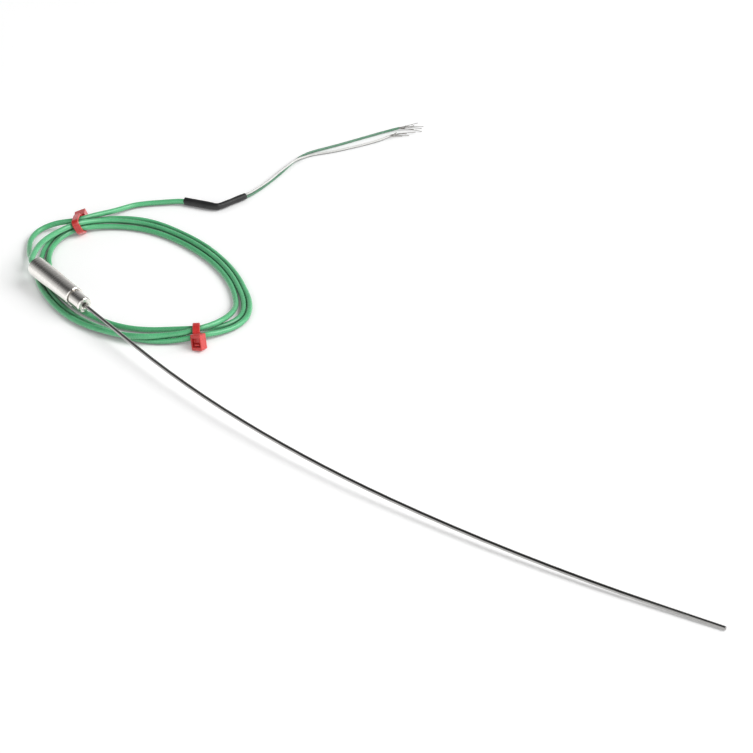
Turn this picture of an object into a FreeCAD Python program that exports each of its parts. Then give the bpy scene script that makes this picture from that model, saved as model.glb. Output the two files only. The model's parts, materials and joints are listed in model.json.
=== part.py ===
"""Mineral insulated thermocouple probe with a potted seal and a coiled lead.

Millimetres, +Z up. The floor is z = 0 and +X runs along the seal's axis towards the tip.
The sheath and the seal are built about their own straight axis, then laid on the coil
with the tip down on the floor.
"""
import FreeCAD, Part
import math
import os

import Sketcher
from FreeCAD import Placement, Rotation, Vector

UP = Vector(0, 0, 1)
ACROSS = Vector(0, 1, 0)
ORIGIN = Vector(0, 0, 0)

# Driving sizes: alias, value in millimetres or degrees, meaning
SIZES = [
    ("sheath_dia", 1.5, "outside of the metal sheath"),
    ("sheath_wall", 0.2, "wall of the metal sheath"),
    ("sheath_length", 300.0, "neck face to tip, along the sheath"),
    ("sheath_inside", 15.5, "length of sheath behind the neck face"),
    ("stub_length", 36.0, "straight sheath in front of the neck"),
    ("first_radius", 475.0, "first gentle bend of the sheath"),
    ("first_bend", 63.8, "length of the first bend"),
    ("second_radius", 515.0, "second gentle bend"),
    ("second_bend", 70.1, "length of the second bend"),
    ("third_radius", 720.0, "third gentle bend, as long as the rest of the sheath allows"),
    ("tip_straight", 24.0, "straight sheath behind the tip's cap"),
    ("plug_depth", 1.2, "tip plug inside the sheath"),
    ("cap_height", 0.5, "welded cap beyond the sheath's end"),
    ("cap_rounding", 0.36, "edge radius of the cap"),
    ("wire_dia", 0.28, "thermoelement"),
    ("wire_offset", 0.26, "thermoelement from the sheath's axis"),
    ("junction_length", 0.8, "weld bead that joins the thermoelements"),
    ("junction_margin", 0.03, "weld bead beyond the wires, all round"),
    ("junction_rounding", 0.2, "front edge of the weld bead"),
    ("junction_cover", 1.6, "insulation between bead and plug"),
    ("seal_length", 1.2, "sealing bead on the cut end of the sheath"),
    ("pot_dia", 8.0, "outside of the seal's tube"),
    ("pot_wall", 0.5, "wall of the seal's tube"),
    ("pot_length", 28.0, "length of the seal's tube"),
    ("pot_chamfer", 0.3, "outer edges of the seal's tube"),
    ("neck_dia", 6.4, "front neck"),
    ("neck_length", 7.4, "front neck beyond the tube"),
    ("neck_rounding", 0.8, "front edge of the neck"),
    ("neck_groove_width", 0.5, "relief behind the neck"),
    ("neck_groove_depth", 0.45, "relief behind the neck"),
    ("spigot_length", 4.0, "bush inside the tube"),
    ("mouth_dia", 3.0, "countersink round the sheath"),
    ("mouth_depth", 1.1, "countersink round the sheath"),
    ("resin_recess", 0.8, "resin below the tube's rear rim"),
    ("lead_dia", 2.3, "outside of the lead"),
    ("lead_inside", 4.0, "lead inside the seal"),
    ("core_dia", 1.0, "insulated core of the lead"),
    ("conductor_dia", 0.6, "stranded conductor of a core"),
    ("core_offset", 0.6, "core from the axis, inside the seal"),
    ("positive_core_length", 3.2, "positive core between lead and splice"),
    ("splice_stagger", 4.6, "negative splice ahead of the positive one"),
    ("ferrule_length", 3.4, "crimped splice"),
    ("ferrule_wall", 0.17, "crimped splice, over the conductor"),
    ("sleeve_wall", 0.14, "insulating sleeve over a splice"),
    ("sleeve_overlap", 0.3, "sleeve beyond the ferrule's front end"),
    ("wire_slant", 1.4, "length over which a thermoelement moves out to its splice"),
    ("rest_clearance", 0.3, "between pieces that rest on soft ones"),
    ("coil_half_length", 50.0, "middle of the turns, long half axis"),
    ("coil_half_width", 35.0, "middle of the turns, short half axis"),
    ("coil_band", 11.2, "width of the band of turns"),
    ("coil_turned", 7.5, "degrees, long axis of the coil from +X"),
    ("first_tie_angle", 164.7, "degrees round the oval to the first tie"),
    ("second_tie_angle", -16.0, "degrees round the oval to the second tie"),
    ("first_askew", 12.0, "degrees clockwise from square across the strands"),
    ("second_askew", 30.0, "degrees clockwise from square across the strands"),
    ("tie_gap", 11.0, "band cut away at a tie"),
    ("bundle_length", 17.0, "gathered strands through a tie"),
    ("bundle_height", 4.4, "gathered strands"),
    ("first_bundle_width", 7.2, "four strands in the first tie"),
    ("second_bundle_width", 4.8, "three strands in the second tie"),
    ("first_inset", 3.1, "first bundle inside the middle of the turns"),
    ("second_inset", -1.3, "second bundle, outside the middle of the turns"),
    ("tie_width", 2.5, "strap of a cable tie"),
    ("tie_thickness", 1.0, "strap of a cable tie"),
    ("head_length", 6.0, "tie head, along the strap"),
    ("head_width", 4.8, "tie head, across the strap"),
    ("head_height", 3.6, "tie head, outwards"),
    ("head_rounding", 0.5, "edges of a tie head"),
    ("slot_width", 2.7, "slot in a tie head"),
    ("slot_length", 2.0, "slot in a tie head"),
    ("slot_depth", 0.9, "cut strap end below the head's face"),
    ("shrink_start_dia", 3.2, "shrink sleeve over the lead"),
    ("shrink_end_dia", 2.7, "shrink sleeve over the cores"),
    ("shrink_cover", 10.0, "lead inside the shrink sleeve"),
    ("shrink_kink_radius", 5.0, "kink of the shrink sleeve"),
    ("strand_dia", 0.2, "bare strand"),
    ("pot_rear_x", -162.7, "place of the seal's rear face"),
    ("pot_axis_y", -30.2, "place of the seal's axis"),
    ("coil_middle_x", -139.2, "place of the coil"),
    ("coil_middle_y", 0.9, "place of the coil"),
]

doc = FreeCAD.newDocument("thermocouple_probe")
sheet = doc.addObject("Spreadsheet::Sheet", "sizes")
for row, (alias, value, meaning) in enumerate(SIZES, 1):
    sheet.set(f"A{row}", meaning)
    sheet.set(f"B{row}", str(value))
    sheet.setAlias(f"B{row}", alias)
doc.recompute()


class Size:
    """A number together with the sheet expression that gives it."""

    def __init__(self, value, text):
        self.value = value
        self.text = text

    def _joined(self, other, sign, value):
        text = other.text if isinstance(other, Size) else repr(other)
        return Size(value, f"({self.text} {sign} {text})")

    def __add__(self, other):
        return self._joined(other, "+", self.value + number(other))

    def __sub__(self, other):
        return self._joined(other, "-", self.value - number(other))

    def __mul__(self, other):
        return self._joined(other, "*", self.value * number(other))

    def __truediv__(self, other):
        return self._joined(other, "/", self.value / number(other))

    def __neg__(self):
        return Size(-self.value, f"(0 - {self.text})")

    def cosine(self):
        return Size(math.cos(math.radians(self.value)), f"cos({self.text})")

    def tangent(self):
        return Size(math.tan(math.radians(self.value)), f"tan({self.text})")


def number(item):
    """The plain value of a Size or a number."""
    return item.value if isinstance(item, Size) else item


def size(alias):
    """A cell of the sheet."""
    return Size(float(sheet.get(alias)), f"sizes.{alias}")


ZERO = Size(0.0, "0")


def bind(item, path, amount):
    """Tie one property of an object to its sheet expression."""
    item.setExpression(path, amount.text)


# Sketch and body helpers
def new_body(label):
    body = doc.addObject("PartDesign::Body", label)
    body.Label = label
    return body


def new_sketch(body, role, name):
    """A sketch on one of the body's own origin planes."""
    sketch = body.newObject("Sketcher::SketchObject", name)
    plane = [item for item in body.Origin.OriginFeatures if item.Role == role][0]
    sketch.AttachmentSupport = (plane, [""])
    sketch.MapMode = "FlatFace"
    return sketch


def pin_point(sketch, line, across, upward):
    """Hold the start of a line at its sheet coordinates."""
    for kind, axis, amount in (("DistanceX", -2, across), ("DistanceY", -1, upward)):
        if amount.text == "0":
            sketch.addConstraint(Sketcher.Constraint("PointOnObject", line, 1, axis))
            continue
        rule = sketch.addConstraint(Sketcher.Constraint(kind, -1, 1, line, 1, amount.value))
        sketch.setExpression(f"Constraints[{rule}]", amount.text)


def draw_polygon(sketch, corners):
    """A closed outline whose corners are bound to the sheet."""
    spots = [Vector(across.value, upward.value, 0) for across, upward in corners]
    count = len(spots)
    first = sketch.GeometryCount
    for i in range(count):
        sketch.addGeometry(Part.LineSegment(spots[i], spots[(i + 1) % count]), False)
    for i in range(count):
        follower = first + (i + 1) % count
        sketch.addConstraint(Sketcher.Constraint("Coincident", first + i, 2, follower, 1))
    for i, (across, upward) in enumerate(corners):
        pin_point(sketch, first + i, across, upward)


def draw_slot(sketch, middle, half_run, radius):
    """A level slot outline: two straight sides and two round ends."""
    low = middle - radius
    high = middle + radius
    ends = (half_run.value, -half_run.value)
    first = sketch.GeometryCount
    sketch.addGeometry(Part.LineSegment(Vector(-half_run.value, low.value, 0),
                                        Vector(half_run.value, low.value, 0)), False)
    sketch.addGeometry(Part.ArcOfCircle(Part.Circle(Vector(ends[0], middle.value, 0), UP, radius.value),
                                        -math.pi / 2, math.pi / 2), False)
    sketch.addGeometry(Part.LineSegment(Vector(half_run.value, high.value, 0),
                                        Vector(-half_run.value, high.value, 0)), False)
    sketch.addGeometry(Part.ArcOfCircle(Part.Circle(Vector(ends[1], middle.value, 0), UP, radius.value),
                                        math.pi / 2, 3 * math.pi / 2), False)
    for i in range(4):
        follower = first + (i + 1) % 4
        sketch.addConstraint(Sketcher.Constraint("Tangent", first + i, 2, follower, 1))
    pin_point(sketch, first, half_run * -1.0, low)
    pin_point(sketch, first + 2, half_run, high)


def revolved(label, corners):
    """A turned piece: its half outline, as distance along +X and radius, spun about X."""
    body = new_body(label)
    sketch = new_sketch(body, "XY_Plane", label + "_outline")
    draw_polygon(sketch, corners)
    spin = body.newObject("PartDesign::Revolution", label + "_turned")
    spin.Profile = sketch
    spin.ReferenceAxis = (sketch, ["H_Axis"])
    spin.Angle = 360.0
    doc.recompute()
    return body


def padded(body, sketch, length, both_ways=True):
    pad = body.newObject("PartDesign::Pad", sketch.Name + "_pad")
    pad.Profile = sketch
    pad.Length = length.value
    pad.Midplane = both_ways
    bind(pad, "Length", length)
    doc.recompute()
    return pad


def rounded(body, feature, edges, radius):
    """Round the named edges of a body's last feature."""
    fillet = body.newObject("PartDesign::Fillet", body.Name + "_rounding")
    fillet.Base = (feature, edges)
    fillet.Radius = radius.value
    bind(fillet, "Radius", radius)
    doc.recompute()


def chamfered(body, feature, edges, width):
    """Break the named edges of a body's last feature."""
    chamfer = body.newObject("PartDesign::Chamfer", body.Name + "_chamfer")
    chamfer.Base = (feature, edges)
    chamfer.Size = width.value
    bind(chamfer, "Size", width)
    doc.recompute()


def ring_edges(shape, along, radius):
    """Names of the round edges at one place along X with one radius."""
    names = []
    for index, edge in enumerate(shape.Edges, 1):
        curve = edge.Curve
        if not isinstance(curve, Part.Circle) or abs(curve.Radius - radius) > FIT:
            continue
        if abs(curve.Center.x - along) < FIT:
            names.append(f"Edge{index}")
    return names


FIT = 1e-4


# Routes of round things: straight runs joined by tangent arcs
def route_edges(points, radii=None, report=""):
    """Edges along a route. With no radii given, each arc is as large as its two runs allow."""
    share = 0.45
    edges = []
    start = points[0]
    used = []
    for i in range(1, len(points) - 1):
        before = points[i - 1] - points[i]
        after = points[i + 1] - points[i]
        turn = math.pi - before.getAngle(after)
        shorter = min(before.Length, after.Length)
        radius = share * shorter / math.tan(turn / 2)
        if radii and radii.get(i):
            radius = radii[i]
        reach = radius * math.tan(turn / 2)
        before.normalize()
        after.normalize()
        enter = points[i] + before * reach
        leave = points[i] + after * reach
        bisector = before + after
        bisector.normalize()
        middle = points[i] + bisector * (radius / math.cos(turn / 2) - radius)
        edges.append(Part.LineSegment(start, enter).toShape())
        edges.append(Part.Arc(enter, middle, leave).toShape())
        start = leave
        used.append(round(radius, 1))
    edges.append(Part.LineSegment(start, points[-1]).toShape())
    if report:
        print(report, "bend radii", used)
    return edges


def swept(edges, radius, end_radius=None):
    """A round bar along edges, its volume compared with section times length."""
    wire = Part.Wire(edges)
    heading = edges[0].tangentAt(edges[0].FirstParameter)
    start = edges[0].valueAt(edges[0].FirstParameter)
    sections = [Part.Wire(Part.makeCircle(radius, start, heading))]
    if end_radius:
        finish = edges[-1].valueAt(edges[-1].LastParameter)
        heading = edges[-1].tangentAt(edges[-1].LastParameter)
        sections.append(Part.Wire(Part.makeCircle(end_radius, finish, heading)))
    bar = wire.makePipeShell(sections, True, False)
    if bar.Volume < 0:
        bar.reverse()
    if not end_radius:
        expected = math.pi * radius ** 2 * wire.Length
        if abs(bar.Volume / expected - 1) > 0.01:
            raise ValueError(f"a swept bar has volume {bar.Volume}, not {expected}")
    return bar


def shaped(label, shape, placement=Placement()):
    """A sub-part whose shape is set directly."""
    item = doc.addObject("Part::Feature", label)
    item.Label = label
    item.Shape = shape
    item.Placement = placement
    return item


def cut_away(label, base, tools):
    """Cut several objects out of one, in order."""
    for tool in tools:
        cut = doc.addObject("Part::Cut", label + "_less_" + tool.Name)
        cut.Base = base
        cut.Tool = tool
        base = cut
    base.Label = label
    doc.recompute()
    return base


sub_parts = []


def keep(item, placement=None):
    """Add a finished sub-part, at its place."""
    if placement is not None:
        item.Placement = placement
    sub_parts.append(item)
    return item


# Sizes that follow from the sheet
sheath_radius = size("sheath_dia") / 2
bore_radius = sheath_radius - size("sheath_wall")
wire_radius = size("wire_dia") / 2
conductor_radius = size("conductor_dia") / 2
core_radius = size("core_dia") / 2
lead_radius = size("lead_dia") / 2
pot_radius = size("pot_dia") / 2
pot_bore = pot_radius - size("pot_wall")
neck_radius = size("neck_dia") / 2
neck_face = size("pot_length") + size("neck_length")
sheath_start = neck_face - size("sheath_inside")
seal_start = sheath_start - size("seal_length")
ferrule_radius = conductor_radius + size("ferrule_wall")
sleeve_radius = ferrule_radius + size("sleeve_wall")
positive_splice = size("lead_inside") + size("positive_core_length")
negative_splice = positive_splice + size("splice_stagger")
DEGREE = math.pi / 180
tip_straight = size("tip_straight")
third_bend = (size("sheath_length") - size("cap_height") - size("stub_length")
              - size("first_bend") - size("second_bend") - tip_straight)
SHEATH_BENDS = [(size("first_radius"), size("first_bend")), (size("second_radius"), size("second_bend")),
                (size("third_radius"), third_bend)]


def bend_chain(start_along, height):
    """Edges of the sheath's line from a place on its straight stub, and the end frame."""
    edges = []
    place = Vector(neck_face.value + size("stub_length").value, 0, height)
    edges.append(Part.LineSegment(Vector(start_along, 0, height), place).toShape())
    heading = 0.0
    for radius, length in ((bend[0].value, bend[1].value) for bend in SHEATH_BENDS):
        turn = length / radius
        centre = place + Vector(-math.sin(heading), math.cos(heading), 0) * radius
        middle = centre + Vector(math.sin(heading + turn / 2), -math.cos(heading + turn / 2), 0) * radius
        heading += turn
        finish = centre + Vector(math.sin(heading), -math.cos(heading), 0) * radius
        edges.append(Part.Arc(place, middle, finish).toShape())
        place = finish
    return edges, place, heading


def sheath_line(start_along, short_of_end, height):
    """The sheath's line, ending a little short of the sheath's cut end."""
    edges, place, heading = bend_chain(start_along, height)
    forward = Vector(math.cos(heading), math.sin(heading), 0)
    edges.append(Part.LineSegment(place, place + forward * (tip_straight.value - short_of_end)).toShape())
    return edges


def tip_placement():
    """Frame at the sheath's cut end, with X pointing out of the tip."""
    edges, place, heading = bend_chain(neck_face.value, 0)
    forward = Vector(math.cos(heading), math.sin(heading), 0)
    return Placement(place + forward * tip_straight.value, Rotation(UP, math.degrees(heading)))


def probe_placement():
    """The probe laid down: seal on the coil, tip on the floor."""
    seal_height = size("lead_dia").value + size("rest_clearance").value + pot_radius.value
    tip = tip_placement().Base
    drop = seal_height - sheath_radius.value
    tilt = math.asin(drop / (tip.x - size("pot_length").value))
    turn = Rotation(ACROSS, math.degrees(tilt))
    shoulder = turn.multVec(Vector(size("pot_length").value, 0, 0))
    base = Vector(size("pot_rear_x").value, size("pot_axis_y").value, seal_height - shoulder.z)
    return Placement(base, turn)


LAID = probe_placement()
TIP = LAID.multiply(tip_placement())


def splice_placement(side):
    """Frame of one conductor inside the seal: 1 is the positive side, -1 the negative."""
    return LAID.multiply(Placement(UP * (side * size("core_offset").value), Rotation()))


# Metal sheath and what it holds
def draw_spine(sketch, start, last_straight):
    """The sheath's line as a chain of tangent lines and arcs, bound to the sheet."""
    edges, place, heading = bend_chain(start.value, 0)
    forward = Vector(math.cos(heading), math.sin(heading), 0)
    stub_end = neck_face + size("stub_length")
    sketch.addGeometry(Part.LineSegment(Vector(start.value, 0, 0), Vector(stub_end.value, 0, 0)), False)
    pin_point(sketch, 0, start, ZERO)
    sketch.addConstraint(Sketcher.Constraint("PointOnObject", 0, 2, -1))
    rule = sketch.addConstraint(Sketcher.Constraint("DistanceX", -1, 1, 0, 2, stub_end.value))
    sketch.setExpression(f"Constraints[{rule}]", stub_end.text)
    for index, (radius, length) in enumerate(SHEATH_BENDS, 1):
        curve = edges[index].Curve
        begin, finish = [edges[index].valueAt(t) for t in edges[index].ParameterRange]
        centre = curve.Center
        low = math.atan2(begin.y - centre.y, begin.x - centre.x)
        high = math.atan2(finish.y - centre.y, finish.x - centre.x)
        sketch.addGeometry(Part.ArcOfCircle(Part.Circle(centre, UP, curve.Radius), low, high), False)
        sketch.addConstraint(Sketcher.Constraint("Tangent", index - 1, 2, index, 1))
        bound = (("Radius", radius, 1), ("Angle", length / radius / DEGREE, DEGREE))
        for kind, amount, unit in bound:
            rule = sketch.addConstraint(Sketcher.Constraint(kind, index, amount.value * unit))
            sketch.setExpression(f"Constraints[{rule}]", amount.text)
    last = sketch.addGeometry(Part.LineSegment(place, place + forward * last_straight.value), False)
    sketch.addConstraint(Sketcher.Constraint("Tangent", last - 1, 2, last, 1))
    rule = sketch.addConstraint(Sketcher.Constraint("Distance", last, last_straight.value))
    sketch.setExpression(f"Constraints[{rule}]", last_straight.text)


def sheath_pipe(label, start, last_straight, radii):
    """A body swept along the sheath's line: one radius for a bar, two for a tube."""
    body = new_body(label)
    spine = new_sketch(body, "XY_Plane", label + "_line")
    draw_spine(spine, start, last_straight)
    section = new_sketch(body, "YZ_Plane", label + "_section")
    section.AttachmentOffset = Placement(UP * start.value, Rotation())
    bind(section, "AttachmentOffset.Base.z", start)
    for radius in radii:
        ring = section.addGeometry(Part.Circle(ORIGIN, UP, radius.value), False)
        section.addConstraint(Sketcher.Constraint("Coincident", ring, 3, -1, 1))
        rule = section.addConstraint(Sketcher.Constraint("Radius", ring, radius.value))
        section.setExpression(f"Constraints[{rule}]", radius.text)
    doc.recompute()
    pipe = body.newObject("PartDesign::AdditivePipe", label + "_pipe")
    pipe.Profile = section
    pipe.Spine = (spine, [])
    doc.recompute()
    return body


def make_sheath():
    keep(sheath_pipe("sheath_tube", sheath_start, tip_straight, [sheath_radius, bore_radius]), LAID)


def make_tip_plug():
    depth = -size("plug_depth")
    cap = size("cap_height")
    body = revolved("tip_plug", [(depth, ZERO), (cap, ZERO), (cap, sheath_radius),
                                 (ZERO, sheath_radius), (ZERO, bore_radius), (depth, bore_radius)])
    edges = ring_edges(body.Shape, cap.value, sheath_radius.value)
    rounded(body, body.Tip, edges, size("cap_rounding"))
    keep(body, TIP)


def thermoelement_edges(side):
    """One thermoelement: out of its splice, in to the sheath's bore, along to the junction."""
    splice = positive_splice if side > 0 else negative_splice
    high = side * size("core_offset").value
    low = side * size("wire_offset").value
    start = splice.value + size("ferrule_length").value / 2
    slant_end = seal_start.value
    slant_start = slant_end - size("wire_slant").value
    stub_end = neck_face.value + size("stub_length").value
    points = [Vector(start, 0, high), Vector(slant_start, 0, high),
              Vector(slant_end, 0, low), Vector(stub_end, 0, low)]
    bend = size("wire_slant").value
    bent = route_edges(points, {1: bend, 2: bend})
    short = size("plug_depth").value + size("junction_cover").value + size("junction_length").value
    return bent + sheath_line(sheath_start.value, short, low)[1:]


def make_thermoelements():
    wires = []
    for side, label in ((1, "thermoelement_positive"), (-1, "thermoelement_negative")):
        wires.append(keep(shaped(label, swept(thermoelement_edges(side), wire_radius.value)), LAID))
    return wires


def make_junction():
    """The weld bead: flat where the two wires end, round towards the tip."""
    radius = size("wire_offset") + wire_radius + size("junction_margin")
    front = -size("plug_depth") - size("junction_cover")
    back = front - size("junction_length")
    body = revolved("measuring_junction", [(back, ZERO), (front, ZERO), (front, radius), (back, radius)])
    edges = ring_edges(body.Shape, front.value, radius.value)
    rounded(body, body.Tip, edges, size("junction_rounding"))
    return keep(body, TIP)


def make_insulation(wires, junction):
    """Packed oxide that fills the sheath round the wires and the bead."""
    fill = sheath_pipe("oxide_fill", sheath_start, tip_straight - size("plug_depth"), [bore_radius])
    fill.Placement = LAID
    keep(cut_away("mineral_insulation", fill, wires + [junction]))


def bar_in_seal(label, start, finish, radius):
    """A plain bar on the seal's axis."""
    body = revolved(label, [(start, ZERO), (finish, ZERO), (finish, radius), (start, radius)])
    body.Placement = LAID
    return body


def make_end_seal(wires):
    """Bead of sealant on the cut end of the sheath. Returns the bead with no holes."""
    bead = bar_in_seal("end_bead", seal_start, sheath_start, sheath_radius)
    keep(cut_away("sheath_end_seal", bead, wires))
    return bead


# Seal: tube, front bush, splices and resin
def make_pot_body():
    length = size("pot_length")
    body = revolved("pot_body", [(ZERO, pot_bore), (length, pot_bore), (length, pot_radius),
                                 (ZERO, pot_radius)])
    edges = ring_edges(body.Shape, 0.0, pot_radius.value)
    edges += ring_edges(body.Shape, length.value, pot_radius.value)
    chamfered(body, body.Tip, edges, size("pot_chamfer"))
    keep(body, LAID)


def make_front_bush():
    shoulder = size("pot_length")
    back = shoulder - size("spigot_length")
    neck_start = shoulder + size("neck_groove_width")
    groove = neck_radius - size("neck_groove_depth")
    mouth = neck_face - size("mouth_depth")
    body = revolved("pot_front_bush", [(back, sheath_radius), (mouth, sheath_radius),
                                       (neck_face, size("mouth_dia") / 2), (neck_face, neck_radius),
                                       (neck_start, neck_radius), (neck_start, groove),
                                       (shoulder, groove), (shoulder, pot_bore), (back, pot_bore)])
    rounded(body, body.Tip, ring_edges(body.Shape, neck_face.value, neck_radius.value),
            size("neck_rounding"))
    keep(body, LAID)


def make_splice(side, sign, splice):
    """Core, conductor, crimp ferrule and sleeve of one pole. Returns the outer pieces."""
    place = splice_placement(side)
    start = size("lead_inside")
    middle = splice + size("ferrule_length") / 2
    finish = splice + size("ferrule_length")
    cover = finish + size("sleeve_overlap")
    core = revolved("pot_core_" + sign, [(start, conductor_radius), (splice, conductor_radius),
                                         (splice, core_radius), (start, core_radius)])
    wire = revolved("pot_conductor_" + sign, [(start, ZERO), (middle, ZERO),
                                              (middle, conductor_radius), (start, conductor_radius)])
    ferrule = revolved("splice_ferrule_" + sign, [(splice, conductor_radius), (middle, conductor_radius),
                                                  (middle, wire_radius), (finish, wire_radius),
                                                  (finish, ferrule_radius), (splice, ferrule_radius)])
    sleeve = revolved("splice_sleeve_" + sign, [(splice, ferrule_radius), (cover, ferrule_radius),
                                                (cover, sleeve_radius), (splice, sleeve_radius)])
    return [keep(item, place) for item in (core, wire, ferrule, sleeve)]


def make_resin(wires, end_bead, splices):
    """Potting that fills the tube round everything in it."""
    finish = size("pot_length") - size("spigot_length")
    fill = bar_in_seal("resin_fill", size("resin_recess"), finish, pot_bore)
    lead = bar_in_seal("lead_in_seal", ZERO, size("lead_inside"), lead_radius)
    sheath = bar_in_seal("sheath_in_seal", sheath_start, size("pot_length"), sheath_radius)
    keep(cut_away("potting_resin", fill, wires + [end_bead, lead, sheath] + splices))


# Lead: the run out of the seal, the coil, the tail with its sleeve and bare ends
COIL_CENTRE = Vector(size("coil_middle_x").value, size("coil_middle_y").value, 0)
EXIT_STRAIGHT = 4.5
APPROACH = 8.5
DEPARTURE = 5.5
EXIT_POINTS = [Vector(-179.0, -26.6, 6.9), Vector(-185.6, -21.0, 5.8)]
TAIL_POINTS = [Vector(-184.9, 22.1, 3.9), Vector(-186.5, 27.7, 2.4), Vector(-185.9, 33.9, 1.5),
               Vector(-182.9, 40.3, 1.3), Vector(-179.9, 45.5, 1.5)]
SHRINK_START = Vector(-176.3, 50.3, 1.7)
SHRINK_KINK = Vector(-165.6, 58.3, 1.7)
SHRINK_END = Vector(-165.0, 73.1, 1.5)
SHRINK_LEAVE = 3.0
CORE_SPREAD = 0.53
POSITIVE_POINTS = [Vector(-165.2, 79.9, 1.0), Vector(-166.7, 85.3, 0.7), Vector(-169.2, 92.3, 0.6),
                   Vector(-172.3, 99.9, 1.0), Vector(-175.5, 106.9, 2.05), Vector(-177.7, 114.3, 2.05),
                   Vector(-177.9, 122.1, 1.0), Vector(-176.7, 130.1, 0.6), Vector(-175.5, 139.1, 0.7),
                   Vector(-174.5, 148.7, 1.0), Vector(-172.5, 158.7, 1.4)]
NEGATIVE_POINTS = [Vector(-166.5, 80.3, 1.0), Vector(-168.2, 86.1, 0.7), Vector(-170.8, 93.1, 0.6),
                   Vector(-174.0, 100.7, 0.6), Vector(-176.9, 107.9, 0.6), Vector(-177.3, 115.3, 0.6),
                   Vector(-174.9, 123.1, 0.6), Vector(-172.5, 131.3, 0.65), Vector(-170.9, 139.7, 0.8),
                   Vector(-169.7, 147.1, 1.0), Vector(-169.1, 152.3, 1.3)]
# Where the bare strands of each core end, as steps from the core's cut end
POSITIVE_SPLAY = [Vector(1.6, 11.2, 0.6), Vector(2.9, 9.8, 1.5), Vector(-0.6, 9.4, 1.0),
                  Vector(4.0, 8.2, 0.2), Vector(0.6, 7.0, 2.4), Vector(2.2, 11.8, 1.2),
                  Vector(-2.0, 6.6, 0.4)]
NEGATIVE_SPLAY = [Vector(2.2, 9.6, 0.5), Vector(3.8, 7.8, 0.3), Vector(0.4, 10.4, 0.9),
                  Vector(-1.6, 6.8, 0.8), Vector(4.6, 5.6, 0.6), Vector(1.4, 8.6, 1.8),
                  Vector(-0.6, 4.8, 1.6)]
STRAND_ROOT = 1.6


def oval_place(angle, inset):
    """Place and heading on the middle of the turns, going clockwise seen from above."""
    theta = math.radians(angle)
    turned = Rotation(UP, size("coil_turned").value)
    spot = Vector(size("coil_half_length").value * math.cos(theta),
                  size("coil_half_width").value * math.sin(theta), 0)
    ahead = Vector(size("coil_half_length").value * math.sin(theta),
                   -size("coil_half_width").value * math.cos(theta), 0)
    ahead.normalize()
    outward = Vector(-ahead.y, ahead.x, 0)
    spot = turned.multVec(spot - outward * inset) + COIL_CENTRE
    ahead = turned.multVec(ahead)
    return spot, math.degrees(math.atan2(ahead.y, ahead.x))


def tie_place(which):
    """Frame at the first or second tie: X along the strands, Y outwards, Z up."""
    spot, heading = oval_place(size(which + "_tie_angle").value, size(which + "_inset").value)
    return Placement(spot, Rotation(UP, heading))


bundle_radius = size("bundle_height") / 2
bundle_middle = size("tie_thickness") + size("rest_clearance") + bundle_radius


def oval_block(name, margin):
    """An upright oval block, as high as one strand."""
    oval = doc.addObject("Part::Ellipse", name + "_outline")
    bind(oval, "MajorRadius", size("coil_half_length") + margin)
    bind(oval, "MinorRadius", size("coil_half_width") + margin)
    block = doc.addObject("Part::Extrusion", name)
    block.Base = oval
    block.DirMode = "Normal"
    block.Solid = True
    bind(block, "LengthFwd", size("lead_dia"))
    return block


def tie_cutter(which):
    """Block that clears the band of turns from a tie."""
    wide = size("coil_band") * 2.0
    block = doc.addObject("Part::Box", which + "_tie_gap")
    bind(block, "Length", size("tie_gap"))
    bind(block, "Width", wide)
    bind(block, "Height", size("lead_dia"))
    corner = Vector(-size("tie_gap").value / 2, -wide.value / 2, 0)
    block.Placement = tie_place(which).multiply(Placement(corner, Rotation()))
    return block


def gathered_strands(which):
    """The strands drawn together where they pass through a tie."""
    body = new_body(which + "_bundle")
    sketch = new_sketch(body, "YZ_Plane", which + "_bundle_section")
    half_width = size(which + "_bundle_width") / 2
    draw_slot(sketch, bundle_middle, half_width - bundle_radius, bundle_radius)
    padded(body, sketch, size("bundle_length"))
    body.Placement = tie_place(which)
    return body


def make_coil():
    """The turns as one flat oval band, drawn together into a bundle at each tie."""
    half_band = size("coil_band") / 2
    outer = oval_block("coil_outside", half_band)
    inner = oval_block("coil_inside", -half_band)
    place = Placement(COIL_CENTRE, Rotation(UP, size("coil_turned").value))
    for block in (outer, inner):
        block.Base.Placement = place
    band = cut_away("coil_band", outer, [inner, tie_cutter("first"), tie_cutter("second")])
    whole = doc.addObject("Part::MultiFuse", "lead_coil")
    whole.Shapes = [band, gathered_strands("first"), gathered_strands("second")]
    doc.recompute()
    keep(whole)


def beside_first_tie(end, across, upward, beyond=0.0):
    """A point on, or beyond, an end face of the first bundle: end is 1 ahead, -1 behind."""
    along = size("bundle_length").value / 2 + beyond
    return tie_place("first").multVec(Vector(end * along, across, bundle_middle.value + upward))


first_half_flat = size("first_bundle_width").value / 2 - bundle_radius.value
strand_reach = bundle_radius.value - lead_radius.value


def make_exit_run():
    """Out of the seal, up and over to the inner top corner of the first bundle."""
    inside = LAID.multVec(Vector(size("lead_inside").value, 0, 0))
    outside = LAID.multVec(Vector(-EXIT_STRAIGHT, 0, 0))
    corner = (-1, -first_half_flat, strand_reach)
    points = [inside, outside] + EXIT_POINTS
    points += [beside_first_tie(*corner, APPROACH), beside_first_tie(*corner)]
    keep(shaped("lead_exit_run", swept(route_edges(points, report="lead exit"), lead_radius.value)))


def shrink_edges(start, kink, finish, radius):
    return route_edges([start, kink, finish], {1: radius})


def lead_end():
    """Cut end of the lead, inside the shrink sleeve."""
    forward = SHRINK_KINK - SHRINK_START
    forward.normalize()
    return SHRINK_START + forward * size("shrink_cover").value


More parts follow.
